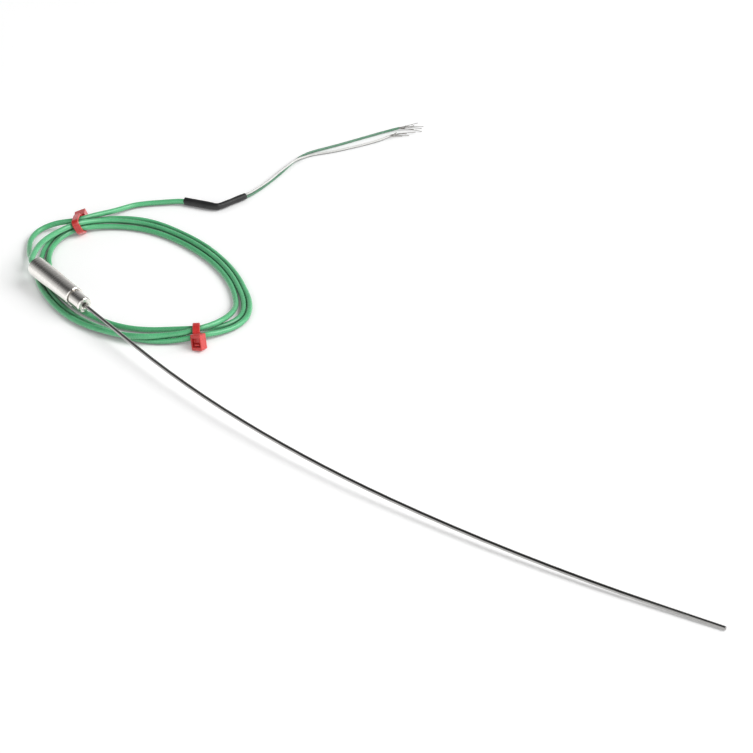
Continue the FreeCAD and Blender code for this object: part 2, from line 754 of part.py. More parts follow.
def make_tail_run():
    """From the outer shoulder of the first bundle, down to the floor and into the sleeve."""
    shoulder = strand_reach * math.sqrt(0.5)
    corner = (1, first_half_flat + shoulder, shoulder)
    points = [beside_first_tie(*corner), beside_first_tie(*corner, DEPARTURE)]
    points += TAIL_POINTS + [SHRINK_START, lead_end()]
    tail = swept(route_edges(points, report="lead tail"), lead_radius.value)
    return keep(shaped("lead_tail_run", tail))


def core_start(side):
    """First points of a tail core: on the lead's cut end, round the kink, out of the sleeve."""
    first = SHRINK_KINK - SHRINK_START
    second = SHRINK_END - SHRINK_KINK
    first.normalize()
    second.normalize()
    first_side = Vector(first.y, -first.x, 0)
    second_side = Vector(second.y, -second.x, 0)
    first_side.normalize()
    second_side.normalize()
    corner = (first_side + second_side) * (1 / (1 + first_side.dot(second_side)))
    shift = side * CORE_SPREAD
    leaving = SHRINK_END + second * SHRINK_LEAVE
    return [lead_end() + first_side * shift, SHRINK_KINK + corner * shift, leaving + second_side * shift]


def make_tail_cores():
    ends = []
    for sign, side, points in (("positive", 1, POSITIVE_POINTS), ("negative", -1, NEGATIVE_POINTS)):
        route = core_start(side) + points
        radii = {1: size("shrink_kink_radius").value + side * CORE_SPREAD}
        edges = route_edges(route, radii, "tail core " + sign)
        keep(shaped("tail_core_" + sign, swept(edges, core_radius.value)))
        ends.append((route[-2], route[-1]))
    return ends


def make_shrink_sleeve(tail):
    """A sleeve shrunk over the lead's end and the start of its cores."""
    kink = size("shrink_kink_radius").value
    edges = shrink_edges(SHRINK_START, SHRINK_KINK, SHRINK_END, kink)
    outer = swept(edges, size("shrink_start_dia").value / 2, size("shrink_end_dia").value / 2)
    throat = swept(shrink_edges(lead_end(), SHRINK_KINK, SHRINK_END, kink), core_radius.value + CORE_SPREAD)
    keep(shaped("heatshrink_sleeve", outer.cut([tail.Shape, throat])))


def make_strands(sign, end, splay):
    """Seven bare strands: a straight root in the core's cut end, then a bend outwards."""
    before, tip = end
    forward = tip - before
    forward.normalize()
    sideways = forward.cross(UP)
    sideways.normalize()
    upwards = sideways.cross(forward)
    pitch = size("strand_dia").value
    step = 2 * math.pi / (len(splay) - 1)
    strands = []
    for index, reach in enumerate(splay):
        around = step * index
        offset = 0.0 if index == 0 else pitch
        root = tip + sideways * (offset * math.cos(around)) + upwards * (offset * math.sin(around))
        points = [root, root + forward * STRAND_ROOT, tip + reach]
        strands.append(swept(route_edges(points), pitch / 2))
    keep(shaped("strands_" + sign, Part.makeCompound(strands)))


# Cable ties: a strap round the bundle and a head with the cut strap end in its slot
def make_tie(label, which):
    body = new_body(label)
    thick = size("tie_thickness")
    askew = size(which + "_askew")
    half_width = size(which + "_bundle_width") / 2
    inner_radius = bundle_radius + size("rest_clearance")
    inner_run = half_width / askew.cosine() + size("tie_width") / 2 * askew.tangent() - bundle_radius
    strap = new_sketch(body, "YZ_Plane", label + "_strap")
    draw_slot(strap, bundle_middle, inner_run, inner_radius + thick)
    draw_slot(strap, bundle_middle, inner_run, inner_radius)
    padded(body, strap, size("tie_width"))

    near = inner_run + inner_radius + thick / 2
    far = near + size("head_height")
    half_length = size("head_length") / 2
    head = new_sketch(body, "YZ_Plane", label + "_head")
    low = bundle_middle - half_length
    high = bundle_middle + half_length
    draw_polygon(head, [(near, low), (far, low), (far, high), (near, high)])
    block = padded(body, head, size("head_width"))

    half_slot = size("slot_length") / 2
    floor = far - size("slot_depth")
    slot = new_sketch(body, "YZ_Plane", label + "_slot")
    low = bundle_middle - half_slot
    high = bundle_middle + half_slot
    draw_polygon(slot, [(floor, low), (far, low), (far, high), (floor, high)])
    before = block.Shape.Volume
    pocket = body.newObject("PartDesign::Pocket", label + "_pocket")
    pocket.Profile = slot
    pocket.Midplane = True
    pocket.Length = size("slot_width").value
    bind(pocket, "Length", size("slot_width"))
    doc.recompute()
    if pocket.Shape.Volume >= before:
        raise ValueError("the slot cuts nothing")
    rounded(body, pocket, long_edges(pocket.Shape, size("head_width").value), size("head_rounding"))
    turn = Placement(ORIGIN, Rotation(UP, -askew.value))
    keep(body, tie_place(which).multiply(turn))


def long_edges(shape, length):
    """Straight edges that run across the whole head."""
    names = []
    for index, edge in enumerate(shape.Edges, 1):
        ends = edge.Vertexes
        if isinstance(edge.Curve, Part.Line) and abs(edge.Length - length) < FIT:
            if abs(ends[0].Point.x - ends[1].Point.x) > length - FIT:
                names.append(f"Edge{index}")
    return names


def build():
    make_sheath()
    make_tip_plug()
    wires = make_thermoelements()
    junction = make_junction()
    make_insulation(wires, junction)
    end_bead = make_end_seal(wires)
    make_pot_body()
    make_front_bush()
    splices = make_splice(1, "positive", positive_splice) + make_splice(-1, "negative", negative_splice)
    make_resin(wires, end_bead, splices)
    make_exit_run()
    make_coil()
    tail = make_tail_run()
    make_shrink_sleeve(tail)
    positive_end, negative_end = make_tail_cores()
    make_strands("positive", positive_end, POSITIVE_SPLAY)
    make_strands("negative", negative_end, NEGATIVE_SPLAY)
    make_tie("cable_tie_top", "first")
    make_tie("cable_tie_bottom", "second")
    doc.recompute()


def write():
    """Check every object, then write one file for each sub-part."""
    for item in doc.Objects:
        if "Invalid" in item.State or "Error" in item.State:
            raise ValueError(f"{item.Label} failed")
    for item in sub_parts:
        if item.Shape.isNull() or not item.Shape.isValid():
            raise ValueError(f"{item.Label} has no valid shape")
    os.makedirs("parts", exist_ok=True)
    for item in sub_parts:
        item.Shape.exportStep(f"parts/{item.Label}.step")
        print(item.Label, len(item.Shape.Solids), "solid", round(item.Shape.Volume, 3), "mm3")


build()
write()
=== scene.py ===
"""Dresses the thermocouple probe: its lead, sleeve, cores, strands and ties, then its finishes and light.

Everything is in the part's own frame, in metres, +Z up, with the probe lying on the floor at z = 0.
"""
import json
import math
import bmesh
import bpy
from mathutils import Matrix, Vector


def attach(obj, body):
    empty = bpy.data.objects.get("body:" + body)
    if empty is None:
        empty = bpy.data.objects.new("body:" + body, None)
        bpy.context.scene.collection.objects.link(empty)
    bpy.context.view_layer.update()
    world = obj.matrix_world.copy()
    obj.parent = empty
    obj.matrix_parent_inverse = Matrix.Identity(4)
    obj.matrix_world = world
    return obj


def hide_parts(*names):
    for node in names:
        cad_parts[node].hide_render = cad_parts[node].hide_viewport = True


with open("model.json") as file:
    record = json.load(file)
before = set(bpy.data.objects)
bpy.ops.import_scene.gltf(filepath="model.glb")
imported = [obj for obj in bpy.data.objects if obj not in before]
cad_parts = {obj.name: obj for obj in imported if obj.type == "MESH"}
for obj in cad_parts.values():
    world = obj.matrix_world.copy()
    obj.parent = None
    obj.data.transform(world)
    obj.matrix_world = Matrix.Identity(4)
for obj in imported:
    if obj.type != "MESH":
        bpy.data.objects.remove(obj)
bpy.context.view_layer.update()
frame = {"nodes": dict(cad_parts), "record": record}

MM = 0.001
UP = Vector((0.0, 0.0, 1.0))


def mm(x, y, z):
    """A point or step given in millimetres, in metres."""
    return Vector((x, y, z)) * MM


# The lead, its cores and their strands: diameters, and how finely each smooth line is drawn
LEAD_DIA = 2.3 * MM
CORE_DIA = 1.0 * MM
STRAND_DIA = 0.26 * MM
CORD_STEPS = 8
CORD_ROUNDNESS = 6

# The oval coil, seen from above
COIL_CENTRE = mm(-139.2, 0.9, 0.0)
COIL_HALF_LENGTH = 50.0 * MM
COIL_HALF_WIDTH = 35.0 * MM
COIL_TURNED = math.radians(7.5)
STEPS_PER_TURN = 36

# Lanes of the three turns: angle on the oval, then each turn's (outward, height) in millimetres
COIL_LANES = [
    (165, (-4.8, 5.1), (-5.4, 2.85), (-3.2, 2.6)),
    (155, (-3.1, 4.0), (-4.5, 2.2), (-0.1, 2.1)),
    (145, (-1.4, 3.0), (-3.5, 1.5), (2.8, 1.35)),
    (135, (-0.1, 2.2), (-2.9, 1.2), (4.0, 1.15)),
    (125, (0.5, 1.9), (-2.5, 1.15), (4.4, 1.15)),
    (115, (0.1, 1.9), (-2.6, 1.15), (3.5, 1.15)),
    (105, (-0.7, 1.9), (-3.2, 1.15), (2.2, 1.15)),
    (90, (-1.6, 1.9), (-4.0, 1.15), (1.2, 1.15)),
    (75, (-1.9, 1.7), (-4.2, 1.15), (0.4, 1.15)),
    (60, (-2.1, 1.65), (-4.2, 1.15), (0.2, 1.15)),
    (45, (-1.3, 1.4), (-3.6, 1.15), (0.8, 1.15)),
    (35, (0.0, 1.15), (-2.9, 1.15), (2.3, 1.15)),
    (25, (1.5, 1.15), (-1.7, 1.4), (3.9, 1.15)),
    (15, (2.8, 1.15), (-0.9, 2.4), (5.2, 1.15)),
    (5, (1.7, 1.15), (-0.2, 3.25), (4.9, 1.15)),
    (-5, (-0.4, 1.3), (0.2, 3.6), (3.9, 1.6)),
    (-15, (-1.6, 2.55), (1.1, 4.3), (3.7, 2.7)),
    (-25, (-4.2, 1.8), (1.6, 3.6), (3.1, 1.9)),
    (-35, (-5.4, 1.15), (1.7, 3.1), (3.15, 1.25)),
    (-45, (-4.6, 1.15), (3.75, 3.5), (3.2, 1.15)),
    (-55, (-3.7, 1.15), (4.0, 2.95), (2.5, 1.15)),
    (-65, (-3.4, 1.15), (3.25, 2.2), (1.2, 1.15)),
    (-75, (-3.7, 1.15), (3.1, 1.75), (0.9, 1.15)),
    (-85, (-4.1, 1.15), (2.5, 1.4), (0.3, 1.15)),
    (-95, (-4.8, 1.15), (1.4, 1.2), (-0.9, 1.15)),
    (-105, (-5.5, 1.15), (0.3, 1.15), (-2.1, 1.15)),
    (-115, (-6.3, 1.15), (-0.6, 1.15), (-3.0, 1.15)),
    (-125, (-7.1, 1.15), (-1.4, 1.15), (-3.5, 2.5)),
    (-135, (-7.6, 1.15), (-2.9, 1.15), (-1.7, 4.0)),
    (-145, (-7.2, 1.15), (-4.3, 1.15), (0.4, 2.7)),
    (-155, (-6.7, 1.2), (-4.0, 1.15), (2.0, 1.7)),
    (-165, (-6.3, 1.4), (-3.6, 1.3), (4.6, 1.4)),
    (-175, (-5.8, 1.8), (-2.9, 1.7), (5.9, 1.6)),
    (-185, (-5.6, 2.5), (-3.0, 2.3), (3.4, 3.0)),
    (-195, (-5.4, 2.85), (-3.2, 2.6), (-1.8, 4.6)),
]
FIRST_ANGLE = COIL_LANES[0][0]

# Free runs of the lead and the cores, point by point
POT_REAR_DEPTH = 14.0 * MM
SEAL_DEPTH = 4.0 * MM
EXIT_POINTS = [
    mm(-165.6, -30.2, 7.2), mm(-168.3, -29.3, 7.1), mm(-171.0, -26.7, 6.9), mm(-174.2, -23.4, 6.6),
    mm(-177.6, -19.2, 6.2), mm(-180.4, -14.0, 5.8), mm(-182.3, -8.4, 5.4), mm(-183.4, -3.0, 5.1),
]
TAIL_POINTS = [
    mm(-185.7, 7.0, 4.8), mm(-185.8, 11.5, 4.4), mm(-186.1, 17.0, 3.4), mm(-186.4, 21.4, 2.6),
    mm(-186.9, 25.5, 1.9), mm(-187.2, 29.9, 1.4), mm(-186.5, 33.4, 1.3), mm(-184.5, 37.8, 1.3),
    mm(-182.1, 41.9, 1.3), mm(-180.0, 45.3, 1.4),
]
POSITIVE_POINTS = [
    mm(-166.5, 82.4, 0.6), mm(-169.2, 90.1, 0.55), mm(-171.8, 96.4, 0.55), mm(-173.9, 100.9, 0.55),
    mm(-175.8, 104.9, 0.55), mm(-177.4, 108.8, 0.7), mm(-178.0, 113.7, 1.1), mm(-178.3, 118.5, 0.9),
    mm(-176.8, 128.2, 0.7), mm(-175.9, 135.3, 0.6), mm(-175.0, 142.4, 0.6), mm(-173.9, 149.4, 0.7),
    mm(-172.6, 156.3, 0.9), mm(-171.4, 160.5, 1.1),
]
NEGATIVE_POINTS = [
    mm(-167.2, 82.9, 1.35), mm(-169.5, 90.3, 1.45), mm(-171.6, 95.0, 1.5), mm(-173.6, 100.7, 1.6),
    mm(-176.0, 107.0, 1.55), mm(-176.8, 111.7, 0.9), mm(-176.7, 115.8, 0.6), mm(-175.7, 119.6, 0.55),
    mm(-173.3, 125.5, 0.55), mm(-171.7, 132.0, 0.55), mm(-170.2, 138.6, 0.55), mm(-169.0, 145.6, 0.6),
    mm(-168.7, 149.3, 0.7), mm(-168.7, 153.5, 0.9),
]

# The shrink sleeve's middle line: one run on the lead and one on the cores, with a kink between them
SHRINK_START = mm(-176.3, 50.3, 1.7)
SHRINK_ON_LEAD = mm(-170.466, 53.958, 1.7)
SHRINK_BEFORE_KINK = mm(-164.632, 57.616, 1.7)
SHRINK_KINK = mm(-163.7, 58.2, 1.7)
SHRINK_AFTER_KINK = mm(-163.753, 59.299, 1.685)
SHRINK_ON_CORES = mm(-164.077, 65.999, 1.592)
SHRINK_END = mm(-164.4, 72.7, 1.5)

# The shrink sleeve's sizes, how far it covers the lead, and how the two cores lie beside each other in it
SHRINK_DIA_LEAD = 3.2 * MM
SHRINK_DIA_CORES = 2.7 * MM
SHRINK_WALL = 0.25 * MM
SHRINK_COVER = 10.0 * MM
SHRINK_LEAVE = 3.0 * MM
CORE_SPREAD = 0.53 * MM
CORE_LEAN = math.radians(45.0)

# The shrink sleeve's surface: its open ends, where it narrows, its unevenness and the folds at its kink
SLEEVE_SIDES = 40
SLEEVE_LIP = 1.2 * MM
NARROWS_EARLY = 1.5 * MM
NARROWS_OVER = 1.8 * MM
UNEVEN_HEIGHT = 0.05 * MM
UNEVEN_WAVES = 23.0
KINK_WIDTH = 1.6 * MM
KINK_PINCH = 0.22 * MM
KINK_BULGE = 0.35
FOLD_SHARE = 0.7
FOLD_WAVES = 5.0

# The strands' roots in their core, how much each is bowed, and the steps from the core's end to their tips
STRAND_ROOT = 1.6 * MM
STRAND_RING = 1.2
BOW_ALONG = 0.5 * MM
BOW_ASIDE = 0.25 * MM
POSITIVE_SPLAY = [
    mm(4.0, 0.7, 2.8), mm(3.3, 7.8, 1.3), mm(6.2, 8.6, 0.5), mm(6.2, 7.6, -0.1),
    mm(7.7, 6.4, -0.6), mm(3.6, 5.5, 0.9), mm(4.4, 4.6, -0.3),
]
NEGATIVE_SPLAY = [
    mm(2.2, 1.6, 2.1), mm(3.5, 0.2, 1.9), mm(3.2, 6.6, 0.1), mm(4.2, 10.6, -0.1),
    mm(4.4, 7.0, -0.4), mm(2.4, 4.5, 0.6), mm(3.0, 4.1, -0.4),
]

# Sizes of the cable ties: strap, head, the head's slot and the strap's cut end in it
TIE_WIDTH = 2.8 * MM
TIE_THICKNESS = 1.0 * MM
TIE_EDGE = 0.22 * MM
TIE_SLACK = 0.05 * MM
TIE_REACH = 12.0 * MM
STRAP_STEPS = 90
FLOOR_GAP = 0.03 * MM
HEAD_HEIGHT = 6.2 * MM
HEAD_WIDTH = 4.6 * MM
HEAD_DEPTH = 4.2 * MM
HEAD_OVERLAP = 0.5 * MM
HEAD_ROUNDING = 0.4 * MM
ROUNDING_STEPS = 3
ROUNDED_FROM = math.radians(60.0)
SLOT_WIDTH = 3.2 * MM
SLOT_HEIGHT = 3.1 * MM
SLOT_DEPTH = 1.7 * MM
CUT_END_GAP = 0.1 * MM
CUT_END_ROOT = 0.3 * MM
CUT_END_BACK = 0.35 * MM
CUT_END_DRAWN = 0.85

# Where each tie lies on the oval, how far its loop is turned, and where its head sits (millimetres, degrees)
TOP_TIE = {
    "angle": 162.2, "outward": -2.6, "height": 3.5, "askew": 19.7, "tilt": 22.0, "head_yaw": 0.0,
    "head_pitch": 0.0, "head_roll": 0.0, "head_aside": 0.0, "head_out": 0.0, "head_rise": -1.6,
}
BOTTOM_TIE = {
    "angle": -18.0, "outward": 1.0, "height": 3.3, "askew": 18.0, "tilt": 0.0, "head_yaw": -32.5,
    "head_pitch": 14.0, "head_roll": 15.0, "head_aside": -2.0, "head_out": 0.8, "head_rise": -0.9,
}

# Camera, worked out from the photo's perspective
CAMERA_PLACE = mm(625.75, -474.93, 561.36)
CAMERA_TARGET = mm(-26.38, 34.58, 0.0)
CAMERA_LENS = 126.7
CAMERA_SENSOR = 36.0

# Floor: half its side, its colour, what is added for the camera and in reflections, and the reach of the
# painted shade in its narrow gaps
FLOOR_HALF = 4.0
FLOOR_CELLS = 8
FLOOR_COLOUR = (0.80, 0.80, 0.80)
FLOOR_ROUGHNESS = 0.9
FLOOR_LIFT = 0.32
FLOOR_MIRRORED = 0.75
FLOOR_GAP_SHADE_REACH = 3.0 * MM

# Studio: (position, level) of its light by height, and towards its rear; then its lamps in metres and watts
HEIGHT_LEVELS = [(0.0, 1.0), (0.17, 0.95), (0.32, 0.70), (0.45, 0.38), (0.56, 0.14), (0.66, 0.04)]
WORLD_REAR = (-0.788, 0.616, 0.0)
REAR_LEVELS = [(0.50, 0.04), (0.66, 0.30), (0.90, 0.42)]
KEY_PLACE = Vector((1.6, 2.0, 2.6))
KEY_SIZE = 2.4
KEY_POWER = 122.0
FILL_PLACE = Vector((2.2, -2.7, 1.9))
FILL_SIZE = 3.8
FILL_POWER = 50.0

# Edges sharper than this are shaded as edges
SHARP_FROM = math.radians(40.0)
TIE_SHARP_FROM = math.radians(30.0)

# Noise patterns: the part of the range where nearly all of a pattern lies, and how rich patterns are
PATTERN_LOW = 0.3
PATTERN_HIGH = 0.7
PATCH_DETAIL = 3.0
FINE_DETAIL = 4.0

# Marks on metal, in waves to the metre along, across and up: drawn along a tube, or turned round it
DRAWN_MARKS = (60.0, 4000.0, 4000.0)
DRAWN_PATCHES = (40.0, 700.0, 700.0)
TURNED_MARKS = (7000.0, 20.0, 20.0)
TURNED_PATCHES = (1500.0, 10.0, 10.0)


def new_object(name, data):
    """An object with that data, in the scene."""
    made = bpy.data.objects.new(name, data)
    bpy.context.scene.collection.objects.link(made)
    return made


def cord_curve(name, routes, diameter):
    """A smooth round cord, or several in one piece, with each route's points as control points."""
    curve = bpy.data.curves.new(name, "CURVE")
    curve.dimensions = "3D"
    curve.bevel_depth = diameter / 2
    curve.bevel_resolution = CORD_ROUNDNESS
    curve.use_fill_caps = True
    for route in routes:
        spline = curve.splines.new("NURBS")
        spline.points.add(len(route) - 1)
        for point, place in zip(spline.points, route):
            point.co = (*place, 1.0)
        spline.order_u = 3
        spline.use_endpoint_u = True
        spline.resolution_u = CORD_STEPS
        spline.use_smooth = True
    return new_object(name, curve)


def centreline(route):
    """Points along the smooth line that a cord with this route takes."""
    line = cord_curve("centreline", [route], 0.0)
    mesh = bpy.data.meshes.new_from_object(line)
    places = [vertex.co.copy() for vertex in mesh.vertices]
    bpy.data.meshes.remove(mesh)
    bpy.data.curves.remove(line.data)
    return places


def run_length(places):
    """Length of a line through these points."""
    return sum((b - a).length for a, b in zip(places, places[1:]))


def oval_normal(angle):
    """Outward direction of the coil's oval at that angle in degrees."""
    turn = math.radians(angle)
    flat = Vector((math.cos(turn) / COIL_HALF_LENGTH, math.sin(turn) / COIL_HALF_WIDTH)).normalized()
    cosine = math.cos(COIL_TURNED)
    sine = math.sin(COIL_TURNED)
    return Vector((flat.x * cosine - flat.y * sine, flat.x * sine + flat.y * cosine, 0.0))


def oval_point(angle, outward, height):
    """Point beside the coil's oval, outward and height in millimetres."""
    turn = math.radians(angle)
    along = COIL_HALF_LENGTH * math.cos(turn)
    across = COIL_HALF_WIDTH * math.sin(turn)
    cosine = math.cos(COIL_TURNED)
    sine = math.sin(COIL_TURNED)
    flat = Vector((along * cosine - across * sine, along * sine + across * cosine, 0.0))
    return COIL_CENTRE + flat + oval_normal(angle) * outward * MM + UP * height * MM


def lane_at(angle, turn):
    """(outward, height) of one turn of the coil at an angle, between the rows of the lanes."""
    for before, after in zip(COIL_LANES, COIL_LANES[1:]):
        if before[0] >= angle >= after[0]:
            share = (before[0] - angle) / (before[0] - after[0])
            start = before[1 + turn]
            end = after[1 + turn]
            return [a + (b - a) * share for a, b in zip(start, end)]
    raise ValueError(angle)


def coil_points():
    """Control points of the coil's three turns, from the upper tie round to the upper tie again."""
    points = []
    turns = len(COIL_LANES[0]) - 1
    for turn in range(turns):
        for step in range(STEPS_PER_TURN):
            angle = FIRST_ANGLE - step * 360.0 / STEPS_PER_TURN
            points.append(oval_point(angle, *lane_at(angle, turn)))
    points.append(oval_point(COIL_LANES[-1][0], *COIL_LANES[-1][turns]))
    return points


def mount(name):
    """One of the record's mounts."""
    return next(entry for entry in frame["record"]["mounts"] if entry["name"] == name)


def pot_rear(depth=0.0):
    """Point on the pot's axis at its rear face, or that far inside it."""
    barrel = mount("pot_barrel")
    return Vector(barrel["pos_m"]) + Vector(barrel["axis"]) * (depth - POT_REAR_DEPTH)


def lead_end():
    """Point inside the shrink sleeve where the lead's jacket ends."""
    return SHRINK_START + (SHRINK_KINK - SHRINK_START).normalized() * SHRINK_COVER


def core_start(side):
    """First points of a core, beside the middle line of the shrink sleeve."""
    first_side = (SHRINK_KINK - SHRINK_START).cross(UP).normalized() * CORE_SPREAD * side
    second = (SHRINK_END - SHRINK_KINK).normalized()
    flat_side = second.cross(UP).normalized() * math.cos(CORE_LEAN)
    second_side = (flat_side - UP * math.sin(CORE_LEAN)) * CORE_SPREAD * side
    return [
        lead_end() + first_side,
        SHRINK_BEFORE_KINK + first_side,
        SHRINK_AFTER_KINK + second_side,
        SHRINK_END + second_side,
        SHRINK_END + second * SHRINK_LEAVE + second_side,
    ]


def make_lead():
    """The green lead, one cord from inside the pot through the coil to inside the sleeve."""
    route = [pot_rear(SEAL_DEPTH), pot_rear()] + EXIT_POINTS + coil_points() + TAIL_POINTS
    route += [SHRINK_START, lead_end()]
    return cord_curve("lead", [route], LEAD_DIA), centreline(route)


def make_core(name, side, points):
    """One insulated core, from the end of the lead's jacket to its stripped end."""
    route = core_start(side) + points
    core = cord_curve(name, [route], CORE_DIA)
    return core, run_length(centreline(route))


def make_strands(name, points, splay):
    """The seven bare strands of one core, each bowed a little on its way to its tip."""
    end = points[-1]
    along = (points[-1] - points[-2]).normalized()
    routes = []
    for number, step in enumerate(splay):
        turn = 2.0 * math.pi * number / len(splay)
        aside = along.cross(UP) * math.cos(turn) + UP * math.sin(turn)
        root = end + aside * STRAND_DIA * STRAND_RING
        bow = step * 0.5 + along * BOW_ALONG + aside * BOW_ASIDE
        routes.append([root - along * STRAND_ROOT, root, root + bow * 0.5, end + bow, end + step])
    return cord_curve(name, routes, STRAND_DIA)


def path_frames(places):
    """(place, side, up) along a line, turned as little as possible from point to point."""
    frames = []
    up = UP
    for number, place in enumerate(places):
        before = places[max(number - 1, 0)]
        after = places[min(number + 1, len(places) - 1)]
        along = (after - before).normalized()
        up = (up - along * up.dot(along)).normalized()
        frames.append((place, along.cross(up), up))
    return frames


def mesh_object(name, work, sharp_from=SHARP_FROM):
    """An object from a bmesh, shaded smooth apart from its sharp edges."""
    bmesh.ops.recalc_face_normals(work, faces=work.faces)
    mesh = bpy.data.meshes.new(name)
    work.to_mesh(mesh)
    work.free()
    for face in mesh.polygons:
        face.use_smooth = True
    mesh.set_sharp_from_angle(angle=sharp_from)
    return new_object(name, mesh)


def add_rings(work, rings, closed=False):
    """Joins rings of points with faces, end to end where closed, or with a face over each end."""
    vertices = [[work.verts.new(place) for place in ring] for ring in rings]
    pairs = list(zip(vertices, vertices[1:]))
    if closed:
        pairs.append((vertices[-1], vertices[0]))
    for first, second in pairs:
        for number in range(len(first)):
            other = (number + 1) % len(first)
            work.faces.new((first[number], first[other], second[other], second[number]))
    if not closed:
        work.faces.new(vertices[0])
        work.faces.new(vertices[-1])


def sleeve_ring(place, side, up, radius, pinch=0.0):
    """One ring of the sleeve, pinched on the inner side of its kink."""
    ring = []
    for number in range(SLEEVE_SIDES):
        turn = 2.0 * math.pi * number / SLEEVE_SIDES
        inner = max(0.0, -math.cos(turn)) ** 2
        reach = radius - pinch * inner + KINK_BULGE * pinch * abs(math.sin(turn))
        ring.append(place + side * reach * math.cos(turn) + up * reach * math.sin(turn))
    return ring


def sleeve_shape(travelled, length):
    """(radius, pinch) of the shrink sleeve that far along it."""
    first_run = (SHRINK_KINK - SHRINK_START).length
    second_run = (SHRINK_END - SHRINK_KINK).length
    past_kink = travelled - length * first_run / (first_run + second_run)
    narrowed = 0.5 + 0.5 * math.tanh((past_kink + NARROWS_EARLY) / NARROWS_OVER)
    radius = (SHRINK_DIA_LEAD + (SHRINK_DIA_CORES - SHRINK_DIA_LEAD) * narrowed) / 2
    share = travelled / length
    radius += UNEVEN_HEIGHT * math.sin(share * UNEVEN_WAVES) * share
    pinch = KINK_PINCH * math.exp(-(past_kink / KINK_WIDTH) ** 2)
    pinch *= 1.0 + FOLD_SHARE * math.cos(past_kink / KINK_WIDTH * FOLD_WAVES)
    return radius, pinch


def sleeve_mouth(frames, diameter):
    """The rings of one open end of the shrink sleeve: the edge of its hole, and the hole's bottom."""
    place, side, up = frames[0]
    inward = (frames[1][0] - place).normalized()
    hole = diameter / 2 - SHRINK_WALL
    edge = sleeve_ring(place, side, up, hole)
    return [edge, sleeve_ring(place + inward * SLEEVE_LIP, side, up, hole)]


def make_sleeve():
    """The black shrink sleeve: a thin tube, drawn in from the lead to the cores, creased at its kink."""
    route = [SHRINK_START, SHRINK_ON_LEAD, SHRINK_BEFORE_KINK]
    route += [SHRINK_AFTER_KINK, SHRINK_ON_CORES, SHRINK_END]
    places = centreline(route)
    length = run_length(places)
    frames = path_frames(places)
    rings = sleeve_mouth(frames, SHRINK_DIA_LEAD)[::-1]
    for number, (place, side, up) in enumerate(frames):
        travelled = run_length(places[:number + 1])
        rings.append(sleeve_ring(place, side, up, *sleeve_shape(travelled, length)))
    rings += sleeve_mouth(frames[::-1], SHRINK_DIA_CORES)
    work = bmesh.new()
    add_rings(work, rings)
    return mesh_object("shrink_sleeve", work)


def tie_frame(tie):
    """Middle of a tie's loop, and the loop's directions across, outward and up."""
    normal = oval_normal(tie["angle"])
    outward = Matrix.Rotation(-math.radians(tie["askew"]), 3, "Z") @ normal
    lean = Matrix.Rotation(-math.radians(tie["tilt"]), 3, outward)
    origin = oval_point(tie["angle"], tie["outward"], tie["height"])
    return origin, lean @ outward.cross(UP), outward, lean @ UP


def crossings(line, place, across):
    """(point, direction) where a line goes through the plane of a tie's loop, close to its middle."""
    found = []
    for before, after in zip(line, line[1:]):
        start = (before - place).dot(across)
        end = (after - place).dot(across)
        if start * end < 0.0:
            point = before.lerp(after, start / (start - end))
            if (point - place).length < TIE_REACH:
                found.append((point, (after - before).normalized()))
    return found


def held_strands(tie, line):
    """(point, direction) of each strand that a tie holds, at both edges of its strap and between them."""
    origin, across = tie_frame(tie)[:2]
    strands = []
    for shift in (-TIE_WIDTH / 2, 0.0, TIE_WIDTH / 2):
        aside = across * shift
        strands += [(point - aside, along) for point, along in crossings(line, origin + aside, across)]
    return strands


def loop_point(strands, across, direction):
    """Point on the strands' common outline, in the plane of the loop, that lies furthest that way."""
    outline = []
    for point, along in strands:
        slope = direction - across * direction.dot(along) / across.dot(along)
        radial = slope.normalized() * LEAD_DIA / 2
        outline.append(point + radial - along * radial.dot(across) / along.dot(across))
    return max(outline, key=lambda place: place.dot(direction)) + direction * TIE_SLACK


def lifted(place):
    """A point of a tie, kept above the floor that the tie is pressed on."""
    return Vector((place.x, place.y, max(place.z, FLOOR_GAP)))


def add_strap(work, tie, line):
    """The tie's strap: a flat band with eased edges, drawn round the strands."""
    across, outward, up = tie_frame(tie)[1:]
    strands = held_strands(tie, line)
    half = TIE_WIDTH / 2
    section = [
        (-half + TIE_EDGE, 0.0), (half - TIE_EDGE, 0.0), (half, TIE_EDGE), (half, TIE_THICKNESS - TIE_EDGE),
        (half - TIE_EDGE, TIE_THICKNESS), (-half + TIE_EDGE, TIE_THICKNESS),
        (-half, TIE_THICKNESS - TIE_EDGE), (-half, TIE_EDGE),
    ]
    rings = []
    for number in range(STRAP_STEPS):
        turn = 2.0 * math.pi * number / STRAP_STEPS
        direction = outward * math.cos(turn) + up * math.sin(turn)
        inner = loop_point(strands, across, direction)
        rings.append([lifted(inner + across * aside + direction * rise) for aside, rise in section])
    add_rings(work, rings, closed=True)


def head_places(tie, line):
    """A function that gives the points of a tie's head, by steps aside, out and up from its seat."""
    origin, across, outward, up = tie_frame(tie)
    reach = loop_point(held_strands(tie, line), across, outward) - origin
    seat = origin + outward * (reach.dot(outward) + TIE_THICKNESS - HEAD_OVERLAP)
    seat += (across * tie["head_aside"] + outward * tie["head_out"] + up * tie["head_rise"]) * MM
    yaw = Matrix.Rotation(math.radians(tie["head_yaw"]), 3, up)
    pitch = Matrix.Rotation(math.radians(tie["head_pitch"]), 3, yaw @ across)
    facing = pitch @ yaw @ outward
    roll = Matrix.Rotation(math.radians(tie["head_roll"]), 3, facing)
    sideways = roll @ yaw @ across
    upright = roll @ pitch @ up

    def place(aside, out, rise):
        """One point of the head, above the floor."""
        return lifted(seat + sideways * aside + facing * out + upright * rise)

    return place


def add_grid(work, place, asides, out, rises):
    """Rows of new vertices across a head, all as far out."""
    return [[work.verts.new(place(aside, out, rise)) for aside in asides] for rise in rises]


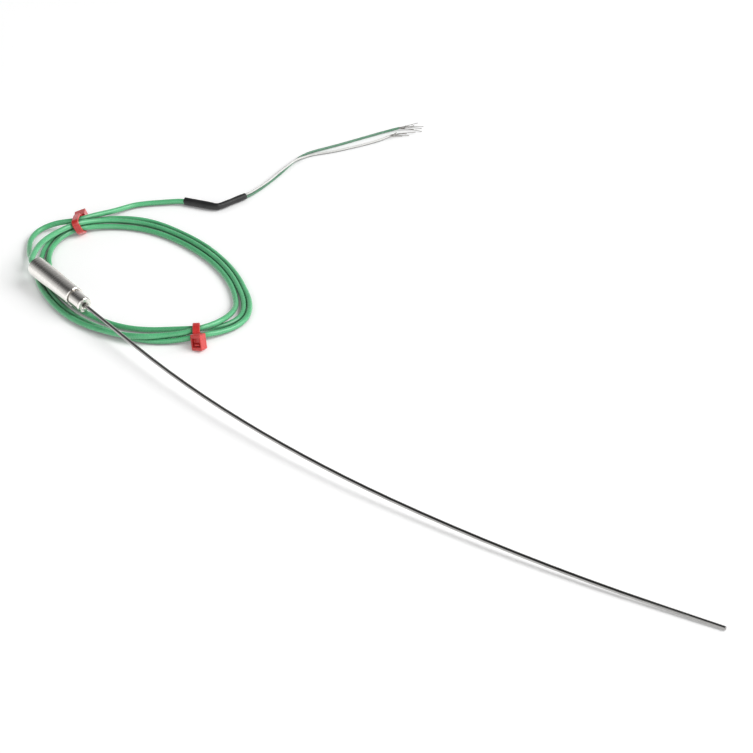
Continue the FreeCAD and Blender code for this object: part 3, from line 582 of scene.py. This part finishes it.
def cell(grid, row, column):
    """The four corners of one cell of a grid, in turn."""
    below = grid[row]
    above = grid[row + 1]
    return [below[column], below[column + 1], above[column + 1], above[column]]


def add_head(work, place):
    """The tie's head: a block with a recessed slot in its front."""
    asides = [-HEAD_WIDTH / 2, -SLOT_WIDTH / 2, SLOT_WIDTH / 2, HEAD_WIDTH / 2]
    rises = [-HEAD_HEIGHT / 2, -SLOT_HEIGHT / 2, SLOT_HEIGHT / 2, HEAD_HEIGHT / 2]
    front = add_grid(work, place, asides, HEAD_DEPTH, rises)
    recess = add_grid(work, place, asides[1:3], HEAD_DEPTH - SLOT_DEPTH, rises[1:3])
    rear = add_grid(work, place, asides[::3], 0.0, rises[::3])
    for row in range(3):
        for column in range(3):
            if (row, column) != (1, 1):
                work.faces.new(cell(front, row, column))
    rim = cell(front, 1, 1)
    base = cell(recess, 0, 0)
    for number in range(4):
        other = (number + 1) % 4
        work.faces.new((rim[number], rim[other], base[other], base[number]))
    work.faces.new(base)
    work.faces.new(front[0] + [rear[0][1], rear[0][0]])
    work.faces.new(front[3] + [rear[1][1], rear[1][0]])
    work.faces.new([row[0] for row in front] + [rear[1][0], rear[0][0]])
    work.faces.new([row[3] for row in front] + [rear[1][1], rear[0][1]])
    work.faces.new(cell(rear, 0, 0))


def add_cut_end(work, place):
    """The cut end of the strap in the head's slot, drawn in a little at its outer end."""
    half_width = TIE_WIDTH / 2 - CUT_END_GAP
    half_height = TIE_THICKNESS / 2
    middle = half_height + CUT_END_GAP - SLOT_HEIGHT / 2
    root = HEAD_DEPTH - SLOT_DEPTH - CUT_END_ROOT
    end = HEAD_DEPTH - CUT_END_BACK
    rings = []
    for out, share in ((root, 1.0), (end, CUT_END_DRAWN)):
        wide = half_width * share
        high = half_height * share
        corners = [(-wide, -high), (wide, -high), (wide, high), (-wide, high)]
        rings.append([place(aside, out, middle + rise) for aside, rise in corners])
    add_rings(work, rings)


def make_tie(name, tie, line):
    """One cable tie round the lead's line: its strap, its head and the cut end in the slot."""
    work = bmesh.new()
    add_strap(work, tie, line)
    place = head_places(tie, line)
    add_head(work, place)
    add_cut_end(work, place)
    made = mesh_object(name, work, TIE_SHARP_FROM)
    bevel = made.modifiers.new("eased edges", "BEVEL")
    bevel.width = HEAD_ROUNDING
    bevel.segments = ROUNDING_STEPS
    bevel.limit_method = "ANGLE"
    bevel.angle_limit = ROUNDED_FROM
    bevel.harden_normals = True
    return made


def shader(name, **values):
    """A new material, its node tree and its main shader, with values for the shader's sockets."""
    material = bpy.data.materials.new(name)
    material.use_nodes = True
    main = material.node_tree.nodes["Principled BSDF"]
    for socket, value in values.items():
        main.inputs[socket.replace("_", " ")].default_value = value
    return material, material.node_tree, main


def stretched(tree, waves, turned):
    """Coordinates of the piece itself, turned about the upright and scaled to waves to the metre."""
    coordinates = tree.nodes.new("ShaderNodeTexCoord")
    mapping = tree.nodes.new("ShaderNodeMapping")
    mapping.vector_type = "TEXTURE"
    mapping.inputs["Rotation"].default_value = (0.0, 0.0, turned)
    mapping.inputs["Scale"].default_value = [1.0 / count for count in waves]
    tree.links.new(coordinates.outputs["Object"], mapping.inputs["Vector"])
    return mapping.outputs["Vector"]


def noise(tree, waves, detail=PATCH_DETAIL, turned=0.0):
    """A noise pattern with that many waves to the metre along each axis."""
    texture = tree.nodes.new("ShaderNodeTexNoise")
    texture.inputs["Scale"].default_value = 1.0
    texture.inputs["Detail"].default_value = detail
    tree.links.new(stretched(tree, waves, turned), texture.inputs["Vector"])
    return texture.outputs["Fac"]


def ramp(tree, factor, low, high, start=0.35, end=0.65):
    """Blends two colours by a pattern."""
    blend = tree.nodes.new("ShaderNodeValToRGB")
    blend.color_ramp.elements[0].position = start
    blend.color_ramp.elements[0].color = (*low, 1.0)
    blend.color_ramp.elements[1].position = end
    blend.color_ramp.elements[1].color = (*high, 1.0)
    tree.links.new(factor, blend.inputs["Fac"])
    return blend.outputs["Color"]


def spread(tree, factor, low, high):
    """Turns a pattern of 0 to 1 into values from low to high."""
    span = tree.nodes.new("ShaderNodeMapRange")
    span.inputs["From Min"].default_value = PATTERN_LOW
    span.inputs["From Max"].default_value = PATTERN_HIGH
    span.inputs["To Min"].default_value = low
    span.inputs["To Max"].default_value = high
    tree.links.new(factor, span.inputs["Value"])
    return span.outputs["Result"]


def bump(tree, main, height, depth, strength=1.0):
    """Raises the surface by a pattern, up to that depth in metres."""
    node = tree.nodes.new("ShaderNodeBump")
    node.inputs["Strength"].default_value = strength
    node.inputs["Distance"].default_value = depth
    tree.links.new(height, node.inputs["Height"])
    tree.links.new(node.outputs["Normal"], main.inputs["Normal"])


def painted_crease_shade(tree, colour, reach):
    """Painted shade: a colour that goes darker in creases narrower than that reach, by ambient occlusion."""
    painted_shade_ao = tree.nodes.new("ShaderNodeAmbientOcclusion")
    painted_shade_ao.inputs["Distance"].default_value = reach
    tree.links.new(colour, painted_shade_ao.inputs["Color"])
    return painted_shade_ao.outputs["Color"]


def dressed(name, low, high, patch, rough, fine, depth, turned=0.0, crease_shade_reach=0.0, **values):
    """A finish: two close colours in soft patches, uneven gloss, a fine texture of some depth, and painted
    shade in creases where a crease reach is given.
    """
    material, tree, main = shader(name, **values)
    colour = ramp(tree, noise(tree, patch, turned=turned), low, high)
    # Painted shade: ambient occlusion darkens the colour in creases.
    if crease_shade_reach:
        colour = painted_crease_shade(tree, colour, crease_shade_reach)
    tree.links.new(colour, main.inputs["Base Color"])
    grain = noise(tree, fine, FINE_DETAIL, turned)
    tree.links.new(spread(tree, grain, *rough), main.inputs["Roughness"])
    bump(tree, main, grain, depth)
    return material


def turned_marks(material):
    """Spreads a finish's reflections along the axis of a turned piece, as fine tool marks do."""
    tree = material.node_tree
    tangent = tree.nodes.new("ShaderNodeTangent")
    tangent.direction_type = "RADIAL"
    tangent.axis = "X"
    tree.links.new(tangent.outputs["Tangent"], tree.nodes["Principled BSDF"].inputs["Tangent"])


def even(waves):
    """The same number of waves to the metre along each axis."""
    return (waves, waves, waves)


def finishes():
    """One finish for each material slot of the record."""
    axis = Vector(mount("pot_barrel")["axis"])
    pot_turn = math.atan2(axis.y, axis.x)
    looks = {
        "sheath_steel": dressed(
            "bright drawn steel", (0.28, 0.275, 0.27), (0.34, 0.335, 0.325), DRAWN_PATCHES,
            (0.06, 0.12), DRAWN_MARKS, 0.001 * MM, Metallic=1.0),
        "pot_steel": dressed(
            "satin turned steel", (0.66, 0.64, 0.61), (0.72, 0.70, 0.67), TURNED_PATCHES,
            (0.24, 0.28), TURNED_MARKS, 0.0001 * MM, pot_turn, Metallic=1.0, Anisotropic=0.6,
            Anisotropic_Rotation=0.25),
        "thermo_alloy": dressed(
            "drawn alloy wire", (0.50, 0.48, 0.45), (0.58, 0.56, 0.53), even(400.0),
            (0.25, 0.40), DRAWN_MARKS, 0.004 * MM, Metallic=1.0),
        "oxide": dressed(
            "packed white oxide", (0.78, 0.77, 0.74), (0.86, 0.85, 0.83), even(900.0),
            (0.80, 0.95), even(6000.0), 0.02 * MM),
        "resin": dressed(
            "dark potting resin", (0.030, 0.028, 0.026), (0.050, 0.047, 0.043), even(500.0),
            (0.25, 0.45), even(2500.0), 0.01 * MM),
        "core_green": dressed(
            "green core jacket", (0.080, 0.22, 0.130), (0.095, 0.25, 0.150), even(260.0),
            (0.28, 0.40), even(3500.0), 0.004 * MM, IOR=1.5),
        # The white core's colour carries painted shade in its creases and where it meets the floor.
        "core_white": dressed(
            "white core jacket", (0.66, 0.66, 0.64), (0.72, 0.72, 0.70), even(260.0),
            (0.38, 0.52), even(3500.0), 0.006 * MM, crease_shade_reach=2.0 * CORE_DIA, IOR=1.5),
        "conductor": dressed(
            "bare wire", (0.26, 0.25, 0.24), (0.34, 0.33, 0.31), even(900.0),
            (0.22, 0.38), even(5000.0), 0.003 * MM, Metallic=1.0),
        "ferrule": dressed(
            "tinned crimp", (0.58, 0.57, 0.55), (0.66, 0.65, 0.63), even(700.0),
            (0.30, 0.45), even(4000.0), 0.006 * MM, Metallic=1.0),
        "splice_sleeve": dressed(
            "amber splice sleeve", (0.40, 0.22, 0.08), (0.48, 0.27, 0.10), even(500.0),
            (0.35, 0.50), even(3000.0), 0.006 * MM),
        # The lead's colour carries painted shade in the creases between its turns.
        "lead_jacket": dressed(
            "green lead jacket", (0.102, 0.455, 0.203), (0.120, 0.515, 0.236), even(120.0),
            (0.22, 0.32), even(2600.0), 0.005 * MM, crease_shade_reach=LEAD_DIA, IOR=1.5),
        "heatshrink": dressed(
            "black shrink sleeve", (0.010, 0.010, 0.011), (0.018, 0.018, 0.018), even(300.0),
            (0.45, 0.62), even(1800.0), 0.020 * MM, IOR=1.45),
        "cable_tie": dressed(
            "red moulded nylon", (0.57, 0.032, 0.030), (0.65, 0.044, 0.040), even(350.0),
            (0.24, 0.36), even(3000.0), 0.006 * MM, IOR=1.53),
    }
    turned_marks(looks["pot_steel"])
    return looks


def wear(piece, name, looks):
    """Gives a piece its slot and that slot's finish."""
    piece.data.materials.clear()
    piece.data.materials.append(looks[name])


def dress_nodes(looks):
    """Gives every CAD node the finish of its own slot."""
    for node in frame["nodes"].values():
        for holder in node.material_slots:
            holder.material = looks[holder.material.name]


def light_path_sum(tree, *names):
    """Sum of some of the light path's flags, at most 1."""
    path = tree.nodes.new("ShaderNodeLightPath")
    total = path.outputs[names[0]]
    for name in names[1:]:
        add = tree.nodes.new("ShaderNodeMath")
        add.operation = "ADD"
        add.use_clamp = True
        tree.links.new(total, add.inputs[0])
        tree.links.new(path.outputs[name], add.inputs[1])
        total = add.outputs["Value"]
    return total


def joined(tree, operation, first, second):
    """Two values joined by a plain operation."""
    node = tree.nodes.new("ShaderNodeMath")
    node.operation = operation
    tree.links.new(first, node.inputs[0])
    tree.links.new(second, node.inputs[1])
    return node.outputs["Value"]


def times(tree, value, factor):
    """A value multiplied by a constant."""
    product = tree.nodes.new("ShaderNodeMath")
    product.operation = "MULTIPLY"
    product.inputs[1].default_value = factor
    tree.links.new(value, product.inputs[0])
    return product.outputs["Value"]


def make_floor():
    """A wide white floor that keeps the soft shadow, with painted shade that keeps its added white out of
    narrow gaps.
    """
    work = bmesh.new()
    bmesh.ops.create_grid(work, x_segments=FLOOR_CELLS, y_segments=FLOOR_CELLS, size=FLOOR_HALF)
    floor = mesh_object("floor", work)
    material, tree, main = shader("white floor", Roughness=FLOOR_ROUGHNESS)
    main.inputs["Base Color"].default_value = (*FLOOR_COLOUR, 1.0)
    main.inputs["Emission Color"].default_value = (1.0, 1.0, 1.0, 1.0)
    seen = times(tree, light_path_sum(tree, "Is Camera Ray", "Is Transmission Ray"), FLOOR_LIFT)
    # Painted shade: ambient occlusion cuts the white added for the camera in narrow gaps.
    painted_shade_ao = tree.nodes.new("ShaderNodeAmbientOcclusion")
    painted_shade_ao.inputs["Distance"].default_value = FLOOR_GAP_SHADE_REACH
    white_lift_with_gap_shade = joined(tree, "MULTIPLY", seen, painted_shade_ao.outputs["AO"])
    mirrored = times(tree, light_path_sum(tree, "Is Glossy Ray"), FLOOR_MIRRORED)
    tree.links.new(joined(tree, "ADD", white_lift_with_gap_shade, mirrored), main.inputs["Emission Strength"])
    floor.data.materials.append(material)


def levels(tree, factor, steps):
    """Grey levels between (position, level) steps of a factor."""
    blend = tree.nodes.new("ShaderNodeValToRGB")
    stops = blend.color_ramp.elements
    while len(stops) < len(steps):
        stops.new(1.0)
    for stop, (position, level) in zip(stops, steps):
        stop.position = position
        stop.color = (level, level, level, 1.0)
    tree.links.new(factor, blend.inputs["Fac"])
    return blend.outputs["Color"]


def make_world():
    """A studio for every kind of ray: white low down, some light behind, dark overhead."""
    world = bpy.data.worlds.new("studio")
    bpy.context.scene.world = world
    world.use_nodes = True
    tree = world.node_tree
    tree.nodes.clear()
    coordinates = tree.nodes.new("ShaderNodeTexCoord")
    behind = tree.nodes.new("ShaderNodeVectorMath")
    behind.operation = "DOT_PRODUCT"
    behind.inputs[1].default_value = WORLD_REAR
    tree.links.new(coordinates.outputs["Generated"], behind.inputs[0])
    parts = tree.nodes.new("ShaderNodeSeparateXYZ")
    tree.links.new(coordinates.outputs["Generated"], parts.inputs["Vector"])
    rear = levels(tree, behind.outputs["Value"], REAR_LEVELS)
    low = levels(tree, parts.outputs["Z"], HEIGHT_LEVELS)
    sky = joined(tree, "MAXIMUM", rear, low)
    studio = tree.nodes.new("ShaderNodeBackground")
    studio.inputs["Strength"].default_value = 1.0
    tree.links.new(sky, studio.inputs["Color"])
    output = tree.nodes.new("ShaderNodeOutputWorld")
    tree.links.new(studio.outputs["Background"], output.inputs["Surface"])


def aim(thing, place, target):
    """Puts a lamp or camera at a place and turns it to a target."""
    thing.location = place
    thing.rotation_euler = (target - place).to_track_quat("-Z", "Y").to_euler()


def make_lamp(name, place, size, power):
    """A soft square lamp that looks at the middle of the part."""
    lamp = bpy.data.lights.new(name, "AREA")
    lamp.size = size
    lamp.energy = power
    aim(new_object(name, lamp), place, Vector((0.0, 0.0, 0.0)))


def make_camera():
    """The photo's own point of view."""
    camera = bpy.data.cameras.new("camera")
    camera.lens = CAMERA_LENS
    camera.sensor_width = CAMERA_SENSOR
    view = new_object("camera", camera)
    aim(view, CAMERA_PLACE, CAMERA_TARGET)
    bpy.context.scene.camera = view


def make_cords(looks):
    """The lead, its sleeve, ties, cores and strands, each in place of its CAD nodes."""
    lead, lead_line = make_lead()
    sleeve = make_sleeve()
    ties = [make_tie("tie_top", TOP_TIE, lead_line), make_tie("tie_bottom", BOTTOM_TIE, lead_line)]
    green, green_length = make_core("core_green", 1.0, POSITIVE_POINTS)
    white, white_length = make_core("core_white", -1.0, NEGATIVE_POINTS)
    green_strands = make_strands("strands_green", POSITIVE_POINTS, POSITIVE_SPLAY)
    white_strands = make_strands("strands_white", NEGATIVE_POINTS, NEGATIVE_SPLAY)
    dress = [
        (lead, "lead_jacket", ["lead_exit_run", "lead_coil", "lead_tail_run"]),
        (sleeve, "heatshrink", ["heatshrink_sleeve"]),
        (ties[0], "cable_tie", ["cable_tie_top"]),
        (ties[1], "cable_tie", ["cable_tie_bottom"]),
        (green, "core_green", ["tail_core_positive"]),
        (white, "core_white", ["tail_core_negative"]),
        (green_strands, "conductor", ["strands_positive"]),
        (white_strands, "conductor", ["strands_negative"]),
    ]
    for piece, slot_name, nodes in dress:
        wear(piece, slot_name, looks)
        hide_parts(*nodes)
        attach(piece, "root")
    tuple(pot_rear())
    run_length(lead_line)


def main():
    """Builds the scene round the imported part."""
    looks = finishes()
    dress_nodes(looks)
    make_cords(looks)
    make_floor()
    make_world()
    make_lamp("key lamp", KEY_PLACE, KEY_SIZE, KEY_POWER)
    make_lamp("fill lamp", FILL_PLACE, FILL_SIZE, FILL_POWER)
    make_camera()
    bpy.context.scene.view_settings.view_transform = "Standard"


main()
